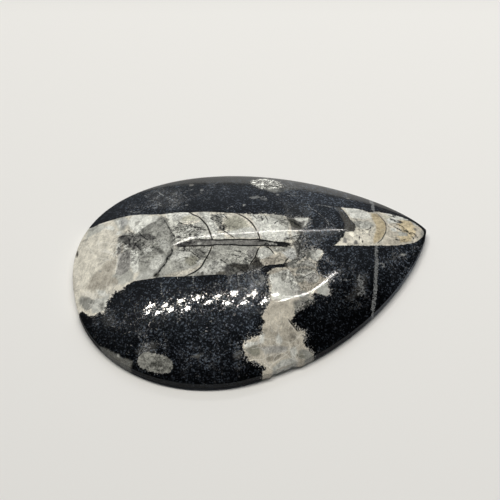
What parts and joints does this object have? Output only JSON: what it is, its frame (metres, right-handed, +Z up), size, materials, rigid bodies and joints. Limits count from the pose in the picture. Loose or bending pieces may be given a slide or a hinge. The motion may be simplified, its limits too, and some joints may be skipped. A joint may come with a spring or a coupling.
{
  "type": "orthoceras fossil",
  "caption": "Polished teardrop of black fossil limestone with a low domed top, an upright rim and a flat ground base, holding a straight chambered shell in calcite.",
  "frame": {"origin": "under the middle of the stone, on the flat base", "axes": "+X along the length to the point of the teardrop, +Z up through the dome"},
  "size_m": [0.09, 0.0639, 0.012],
  "materials": {
    "polished_limestone": "polished black limestone with white and grey calcite in it, and a matt sawn base"
  },
  "bodies": {
    "root": {"orthoceras_stone": "polished_limestone"}
  },
  "joints": []
}
